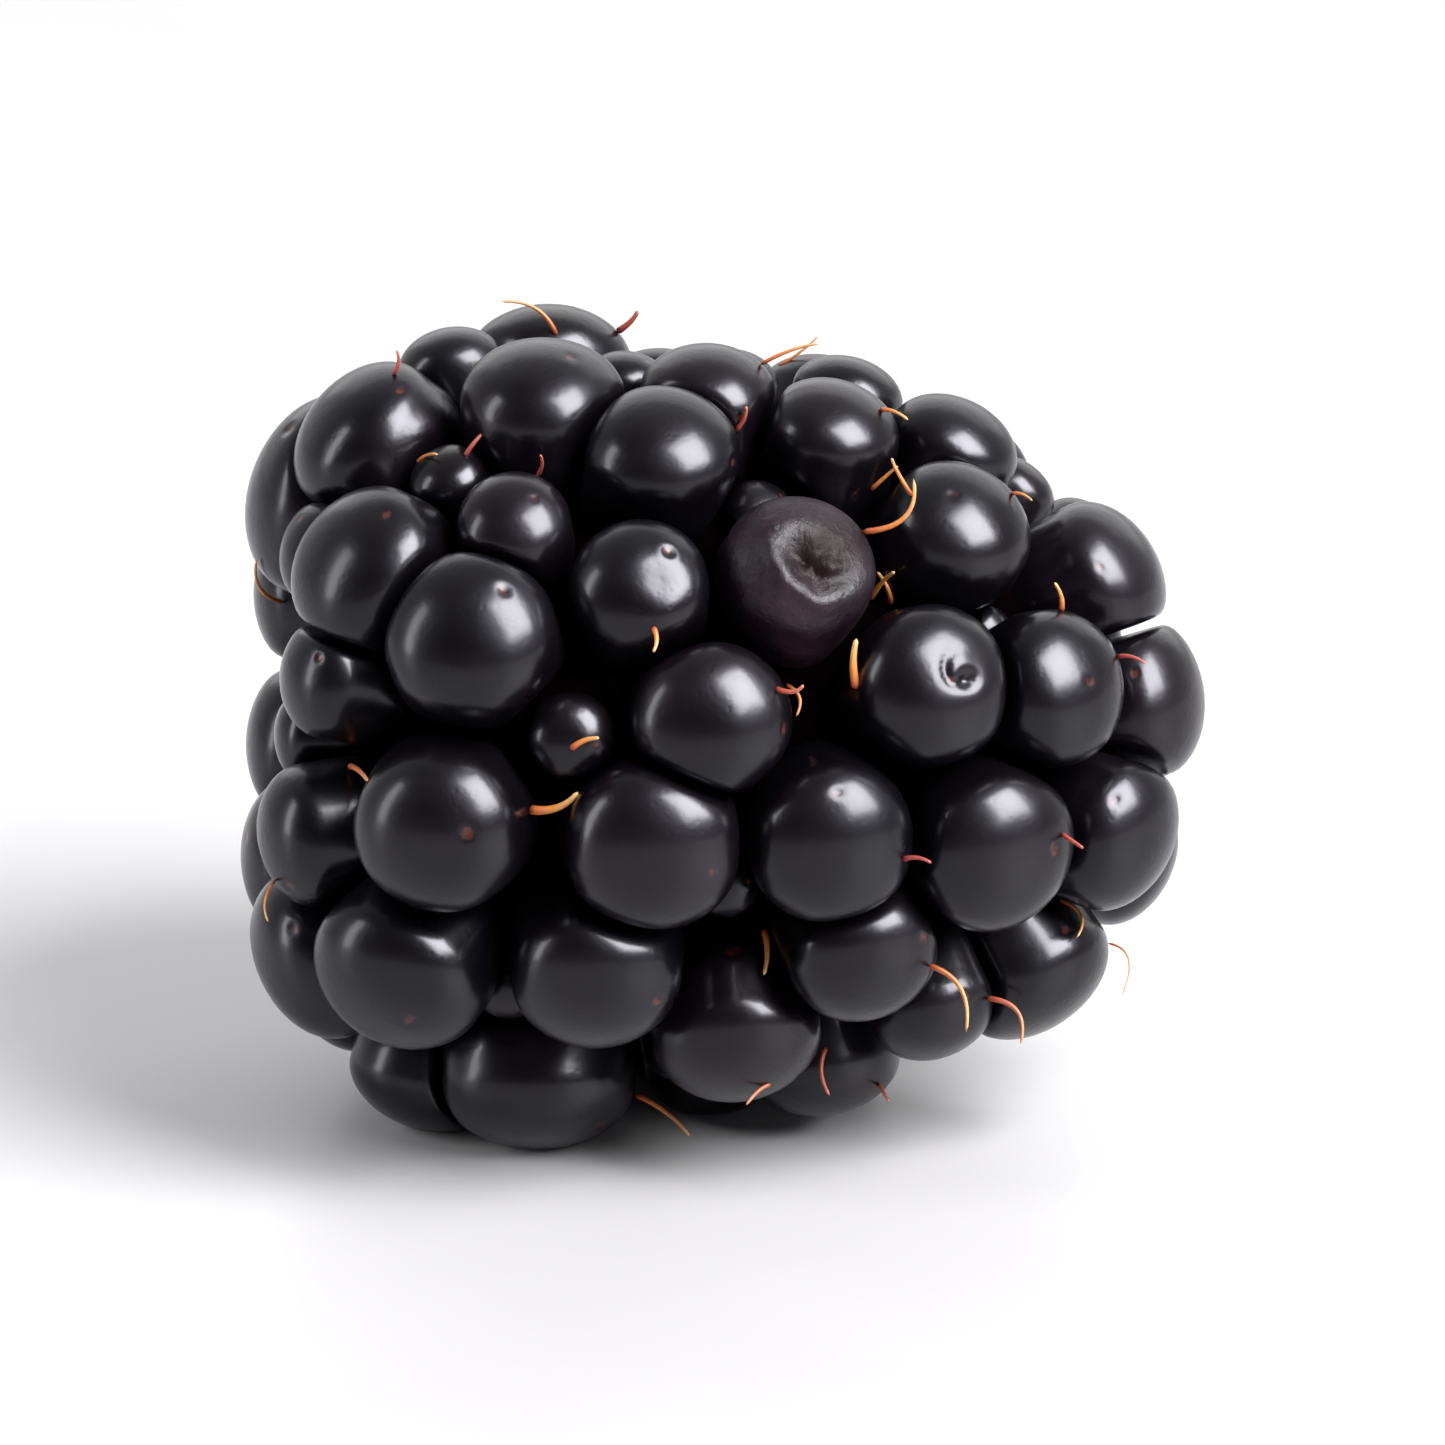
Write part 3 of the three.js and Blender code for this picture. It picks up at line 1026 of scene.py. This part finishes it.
def flesh_profile():
    """From the end of the hollow out to the scar's mouth, then along the egg to its tip."""
    profile = [(0, WIDEST_ALONG + TIP_REACH - FLESH_INSET)]
    for step in range(1, 2 * FLESH_STEPS):
        share = 1 - step / FLESH_STEPS
        reach, power = (TIP_REACH, TIP_POWER) if share > 0 else (STEM_REACH, STEM_POWER)
        angle = abs(share) * math.pi / 2
        along = math.sin(angle) ** (2 / power) * (reach - FLESH_INSET)
        across = math.cos(angle) ** (2 / power) * (HEAD_RADIUS - FLESH_INSET)
        if share < -0.5 and across < MOUTH_RADIUS:
            break
        profile.append((across, WIDEST_ALONG + math.copysign(along, share)))
    profile += [*HOLLOW_SIDE, (0, HOLLOW_END)]
    return profile[::-1]


def flesh_piece():
    """The flesh that shows deep between the drupelets, near black as painted shade."""
    waves = seeded_waves(FLESH_SEED, 9, (3, 9), (0.5, 1.4))

    def placed(along, across, turn):
        rise = wave_sum(waves, turn, along) if across > LUMPY_RADIUS else 0
        size = across + FLESH_LUMP * rise
        return Vector((along, size * math.cos(turn), size * math.sin(turn)))

    vertices, faces = turned(flesh_profile(), FLESH_SIDES, placed)
    places = in_frame(DIP @ vertex for vertex in vertices)
    thing = new_object("deep_flesh", places, faces, flesh_shade_material())
    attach(thing, "root")
    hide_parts("drupelets")


# The receptacle's profile is its radius at a distance from its stem end: from the bottom of the
# small hollow over the torn rim, then down its side to its end inside the berry.
RECEPTACLE_STEM_END = -11.4
RECEPTACLE_SIDES = 96
RECEPTACLE_SEED = 77
RECEPTACLE_PROFILE = [
    (0, 1.7),
    (0.18, 1.62),
    (0.38, 1.45),
    (0.52, 1.15),
    (0.6, 0.8),
    (0.7, 0.45),
    (0.84, 0.2),
    (1.0, 0.05),
    (1.2, 0),
    (1.4, 0.02),
    (1.6, 0.08),
    (1.8, 0.12),
    (1.98, 0.2),
    (2.12, 0.42),
    (2.2, 0.75),
    (2.28, 1.3),
    (2.45, 2),
    (2.75, 3.1),
    (3.05, 4.5),
    (3.18, 6.5),
    (3.18, 8.5),
    (3.0, 10.5),
    (2.6, 12.5),
    (2.0, 14.4),
    (1.3, 15.9),
    (0.6, 16.8),
    (0, 17.2),
]
# The torn rim is ragged down to a depth: in its width, as a share, and in its height.
RAGGED_DEPTH = 1.6
RAGGED_WIDTH = 0.05
RAGGED_HEIGHT = 0.16
HOLLOW_RADIUS = 0.6
# How brown the flesh is: wholly in the hollow, less and less over its brim, a little inside.
BROWN_RADIUS = 0.95
BROWN_BRIM = 0.5
SCAR_FACE_DEPTH = 2
INNER_BROWN = 0.3


def brownness(across, along):
    """How brown the receptacle is at a point of its profile."""
    if along >= SCAR_FACE_DEPTH:
        return INNER_BROWN
    return min(1.0, max(0.0, (BROWN_RADIUS - across) / BROWN_BRIM))


def receptacle_piece():
    """The pale core, seen at the stem end as a torn scar with a brown hollow."""
    waves = seeded_waves(RECEPTACLE_SEED, 14, (3, 14), (1, 5))

    def placed(along, across, turn):
        near = max(0.0, 1 - along / RAGGED_DEPTH)
        ragged = near * wave_sum(waves, turn, across) / 4
        size = across * (1 + RAGGED_WIDTH * ragged)
        lift = RAGGED_HEIGHT * ragged if across > HOLLOW_RADIUS else 0
        x = RECEPTACLE_STEM_END + along + lift
        return Vector((x, size * math.cos(turn), size * math.sin(turn)))

    vertices, faces = turned(RECEPTACLE_PROFILE, RECEPTACLE_SIDES, placed)
    places = in_frame(DIP @ vertex for vertex in vertices)
    browns = []
    for across, along in RECEPTACLE_PROFILE:
        browns.extend([brownness(across, along)] * (RECEPTACLE_SIDES if across > 0 else 1))
    thing = new_object("receptacle_core", places, faces, receptacle_material())
    add_attribute(thing, "depth", browns)
    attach(thing, "root")
    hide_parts("receptacle")


# ---------------------------------------------------------------- dried styles
# The styles in sight, in mm right of and above the egg's middle as the viewer sees it: the start,
# the end, the bend of the middle, then the thickness and how orange the style is.
STYLES = [
    (-5.3, -2.4, -3.9, -1.9, 0.1, -0.2, 0.2, 1),
    (-4.1, -0.7, -3.3, -0.4, 0, 0.1, 0.14, 0.8),
    (-1.8, 2.7, -1.8, 2.0, 0.1, 0, 0.12, 0.9),
    (1.3, -5.8, 1.3, -7.1, 0.1, 0, 0.14, 1),
    (1.6, 1.0, 2.4, 1.1, 0.1, -0.15, 0.12, 0.2),
    (1.9, 1.1, 2.2, 0.2, 0.25, 0.1, 0.1, 0.6),
    (3.9, 1.0, 3.9, 2.4, -0.1, 0, 0.2, 1),
    (4.3, 3.5, 5.0, 4.3, 0, 0.1, 0.13, 1),
    (4.9, 3.4, 4.5, 4.3, 0.1, 0, 0.12, 1),
    (4.0, 5.4, 5.5, 6.9, 0.5, -0.35, 0.13, 0.9),
    (4.3, 6.6, 5.1, 7.3, 0.1, 0.1, 0.1, 1),
    (5.5, 6.4, 4.9, 7.5, -0.1, 0.1, 0.1, 1),
    (4.6, 8.9, 5.4, 8.6, 0, 0.1, 0.1, 0.9),
    (9.7, 3.2, 9.5, 4.0, 0.1, 0, 0.13, 1),
    (11.3, 1.9, 12.1, 1.7, 0, 0.1, 0.1, 0),
    (9.7, -3.1, 10.3, -3.5, 0, 0, 0.11, 0),
    (5.2, -3.8, 6.0, -3.9, 0, 0.1, 0.11, 0),
    (5.9, -6.8, 7.0, -8.7, 0.4, 0.3, 0.12, 0.8),
    (7.6, -7.8, 8.6, -9.1, 0.4, 0.3, 0.12, 0.4),
    (9.7, -5.0, 10.2, -6.1, 0.4, 0.1, 0.09, 0.9),
    (11.2, -6.3, 11.6, -7.8, 0.4, 0.3, 0.05, 1),
    (-4.6, 11.1, -6.2, 12.1, 0.2, 0.3, 0.1, 0.9),
    (-2.9, 11.3, -2.3, 11.9, 0.1, 0, 0.15, 0.1),
    (1.2, 10.2, 2.9, 10.8, 0, 0.1, 0.09, 0.9),
    (1.7, 10.3, 2.9, 11.2, 0.1, 0, 0.07, 1),
    (-9.2, 9.9, -9.1, 10.6, 0.1, 0, 0.1, 0.1),
    (8.3, 6.5, 8.9, 6.3, 0, 0.1, 0.08, 0.9),
    (-12.5, 3.5, -13.2, 4.7, -0.3, -0.2, 0.1, 0.9),
    (-2.4, -10.6, -0.8, -11.8, 0.1, 0.1, 0.12, 0.6),
    (3.1, -9.2, 3.2, -10.6, -0.2, 0, 0.12, 0.1),
    (1.5, -10.2, 0.8, -10.8, 0, 0.1, 0.1, 0.5),
    (4.6, -10.3, 4.9, -10.8, 0, 0, 0.09, 0.1),
    (0.5, 8.3, 0.8, 9.0, 0.1, 0, 0.12, 0.1),
    (-10.4, -1.2, -9.8, -1.6, 0, 0.1, 0.14, 0.5),
    (-8.5, 7.4, -7.9, 7.6, 0, 0.1, 0.09, 0.8),
    (-5.1, 7.0, -5.0, 7.6, 0.1, 0, 0.09, 0.1),
    (-12.5, -4.4, -12.7, -5.6, -0.2, 0, 0.07, 0.9),
]
STYLE_STEPS = 16
STYLE_SIDES = 7
# How deep a style is rooted, and how far its end stands off what is behind it.
STYLE_ROOT = 0.12
STYLE_RISE = 0.35
# A style's radius at its start, as a share of its thickness, and how much of that it loses.
STYLE_START = 0.72
STYLE_TAPER = 0.36
# Other styles stand on about this share of the hidden drupelets. Their curl is in radians.
FAR_STYLE_SEED = 23
FAR_STYLE_SHARE = 0.55
FAR_STYLE_LENGTH = (0.9, 2.4)
FAR_STYLE_CURL = (0.3, 1.7)
FAR_STYLE_THICKNESS = (0.09, 0.15)
# Farther towards the viewer than any of the berry.
EYE_REACH = 60


def berry_surface():
    """A search tree over the drupelets and the flesh between them, in the egg's frame."""
    vertices, faces = [], []
    for name in ("drupelets_front", "drupelets_far", "drupelet_shrivelled", "deep_flesh"):
        mesh = bpy.data.objects[name].data
        places = [corner.co / MM - OFFSET for corner in mesh.vertices]
        add_shell(vertices, faces, places, [face.vertices for face in mesh.polygons])
    return BVHTree.FromPolygons(vertices, faces)


def seen_depth(surface, right, up):
    """How far towards the viewer the surface is at a place in the view, or None beside it."""
    place, _, _, _ = surface.ray_cast(seen(right, up, EYE_REACH), -VIEW_BACK)
    return None if place is None else place.dot(VIEW_BACK)


def shown_path(surface, start, end, bend, thickness):
    """The middle line of a style in sight, kept in front of the surface that it crosses."""
    root = seen_depth(surface, *start)
    reached = seen_depth(surface, *end)
    if root is None:
        root = 0 if reached is None else reached
    tip = root + STYLE_RISE if reached is None else max(reached, root) + STYLE_RISE
    depths, places = [], []
    for step in range(STYLE_STEPS + 1):
        share = step / STYLE_STEPS
        place = start.lerp(end, share) + bend * (4 * share * (1 - share))
        here = seen_depth(surface, *place)
        depth = root + (tip - root) * share
        if here is not None:
            depth = max(depth, here + thickness / 2)
        depths.append(depth)
        places.append(place)
    depths[0] = root - STYLE_ROOT
    for _ in range(2):
        depths[1:-1] = [(a + 2 * b + c) / 4 for a, b, c in zip(depths, depths[1:], depths[2:])]
    return [seen(*place, depth) for place, depth in zip(places, depths)]


def far_path(one, draw):
    """The middle line of a style that curls out of a drupelet's scar."""
    length = draw.between(*FAR_STYLE_LENGTH)
    curl = draw.between(*FAR_STYLE_CURL)
    turn = draw.between(0, 2 * math.pi)
    side, other = perpendicular(one.pole)
    side = side * math.cos(turn) + other * math.sin(turn)
    root = one.scar - one.pole * STYLE_ROOT
    path = []
    for step in range(STYLE_STEPS + 1):
        angle = curl * step / STYLE_STEPS
        out, aside = math.sin(angle), 1 - math.cos(angle)
        path.append(root + (one.pole * out + side * aside) * (length / curl))
    return path


def tube(path, thickness):
    """The vertices of a tapering tube round a path, with a point at each end."""
    floor = FLOOR + thickness / 2
    path = [Vector((place.x, place.y, max(place.z, floor))) for place in path]
    side, _ = perpendicular((path[2] - path[0]).normalized())
    rings = []
    for step in range(1, STYLE_STEPS):
        ahead = (path[step + 1] - path[step - 1]).normalized()
        side = (side - ahead * side.dot(ahead)).normalized()
        other = ahead.cross(side)
        radius = thickness * (STYLE_START - STYLE_TAPER * step / STYLE_STEPS)
        for corner in range(STYLE_SIDES):
            turn = 2 * math.pi * corner / STYLE_SIDES
            rings.append(path[step] + (side * math.cos(turn) + other * math.sin(turn)) * radius)
    return [path[0], *rings, path[-1]]


def shown_styles(surface):
    """The styles in sight: their path, thickness and warmth."""
    found = []
    for *points, thickness, warmth in STYLES:
        start, end, bend = Vector(points[0:2]), Vector(points[2:4]), Vector(points[4:6])
        found.append((shown_path(surface, start, end, bend, thickness), thickness, warmth))
    return found


def far_styles(surface):
    """The other styles, by a rule with seeded draws. None shows beside the outline."""
    draw = Draw(FAR_STYLE_SEED)
    found = []
    for one in DRUPELETS:
        bare = one.name in PLACED or draw() > FAR_STYLE_SHARE
        path = far_path(one, draw)
        thickness = draw.between(*FAR_STYLE_THICKNESS)
        warmth = draw()
        end = path[-1]
        beside = seen_depth(surface, end.dot(VIEW_RIGHT), end.dot(VIEW_UP)) is None
        if not bare and not beside:
            found.append((path, thickness, warmth))
    return found


def styles_piece():
    """The dried styles, as closed tubes in one mesh."""
    surface = berry_surface()
    tube_faces = ring_faces(STYLE_STEPS - 1, STYLE_SIDES)
    vertices, faces, along, warm = [], [], [], []
    for path, thickness, warmth in shown_styles(surface) + far_styles(surface):
        shell = tube(path, thickness)
        add_shell(vertices, faces, shell, tube_faces)
        along.extend(number / (len(shell) - 1) for number in range(len(shell)))
        warm.extend([warmth] * len(shell))
    thing = new_object("styles", in_frame(vertices), faces, style_material())
    add_attribute(thing, "along", along)
    add_attribute(thing, "warmth", warm)
    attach(thing, "root")


# ---------------------------------------------------------------- stage, light and camera
FLOOR_REACH = 30.0
LIGHT_TARGET = Vector((0, 0, 0.012))
KEY_DIRECTION = (0.605, -0.41, 0.684)
ROOM_TINTS = [
    (0.0, (0.30, 0.29, 0.33)),
    (0.14, (0.22, 0.21, 0.24)),
    (0.42, (0.05, 0.05, 0.055)),
    (1.0, (0.22, 0.22, 0.23)),
]
BACK_WALL_TINT = (0.8, 0.8, 0.81)
BACKGROUND_TINT = (0.95, 0.945, 0.95)


def build_floor():
    near, far = -FLOOR_REACH, FLOOR_REACH
    corners = [(near, near, 0), (far, near, 0), (far, far, 0), (near, far, 0)]
    floor = new_object("floor", corners, [(0, 1, 2, 3)], floor_material())


def area_light(name, direction, distance, width, height, watts):
    """A soft box at a direction from the berry, facing it."""
    data = bpy.data.lights.new(name, "AREA")
    data.shape = "RECTANGLE"
    data.size = width
    data.size_y = height
    data.energy = watts
    lamp = bpy.data.objects.new(name, data)
    lamp.location = LIGHT_TARGET + Vector(direction).normalized() * distance
    lamp.rotation_euler = (LIGHT_TARGET - lamp.location).to_track_quat("-Z", "Y").to_euler()
    bpy.context.scene.collection.objects.link(lamp)
    return lamp


def build_lights():
    """A main light with a larger one that only highlights show, a left strip and a backdrop."""
    area_light("key", KEY_DIRECTION, distance=0.5, width=0.3, height=0.34, watts=5)
    gloss = area_light("key_gloss", KEY_DIRECTION, distance=0.49, width=0.36, height=0.42, watts=8)
    gloss.visible_diffuse = False
    area_light("left_strip", (-0.95, -0.2, 0.3), distance=0.6, width=0.12, height=0.5, watts=2)
    area_light("backdrop", (0.1, 0.9, 0.55), distance=0.8, width=1.2, height=0.6, watts=2.4)


def build_world():
    """A grey room, darkest half-way up and pale behind the berry. The camera sees it white."""
    world = bpy.data.worlds.new("studio")
    world.use_nodes = True
    graph = Graph(world.node_tree)
    split = graph.add("ShaderNodeSeparateXYZ", {"Vector": graph.coordinates["Generated"]})
    height = graph.mapped(split.outputs["Z"], -0.1, 1, 0, 1)
    back = graph.mapped(split.outputs["Y"], -0.2, 0.7, 0, 1)
    room = graph.mixed(back, graph.ramp(height, ROOM_TINTS), BACK_WALL_TINT)
    camera_ray = graph.add("ShaderNodeLightPath", {}).outputs["Is Camera Ray"]
    shown = graph.mixed(camera_ray, room, BACKGROUND_TINT)
    graph.feed(graph.nodes["Background"], {"Color": shown})
    bpy.context.scene.world = world


def build_camera():
    data = bpy.data.cameras.new("camera")
    data.sensor_width = SENSOR
    data.lens = SENSOR * CAMERA_DISTANCE / FRAME_WIDTH
    data.clip_start = 0.01
    data.clip_end = 100
    camera = bpy.data.objects.new("camera", data)
    camera.location = CAMERA_TARGET + VIEW_BACK * CAMERA_DISTANCE
    camera.rotation_euler = (-VIEW_BACK).to_track_quat("-Z", "Y").to_euler()
    bpy.context.scene.collection.objects.link(camera)
    bpy.context.scene.camera = camera


def build_drupelets():
    """The drupelets in three pieces: the placed ones, the hidden ones and the shrivelled one."""
    skin = skin_material()
    placed = [one for one in DRUPELETS if one.name in PLACED and one.name != SHRIVELLED]
    hidden = [one for one in DRUPELETS if one.name not in PLACED]
    shrivelled = [one for one in DRUPELETS if one.name == SHRIVELLED]
    drupelet_piece("drupelets_front", placed, skin)
    drupelet_piece("drupelets_far", hidden, skin)
    drupelet_piece("drupelet_shrivelled", shrivelled, shrivelled_material())


build_camera()
build_floor()
build_world()
build_lights()
bpy.context.scene.view_settings.view_transform = "Standard"

build_drupelets()
flesh_piece()
receptacle_piece()
styles_piece()
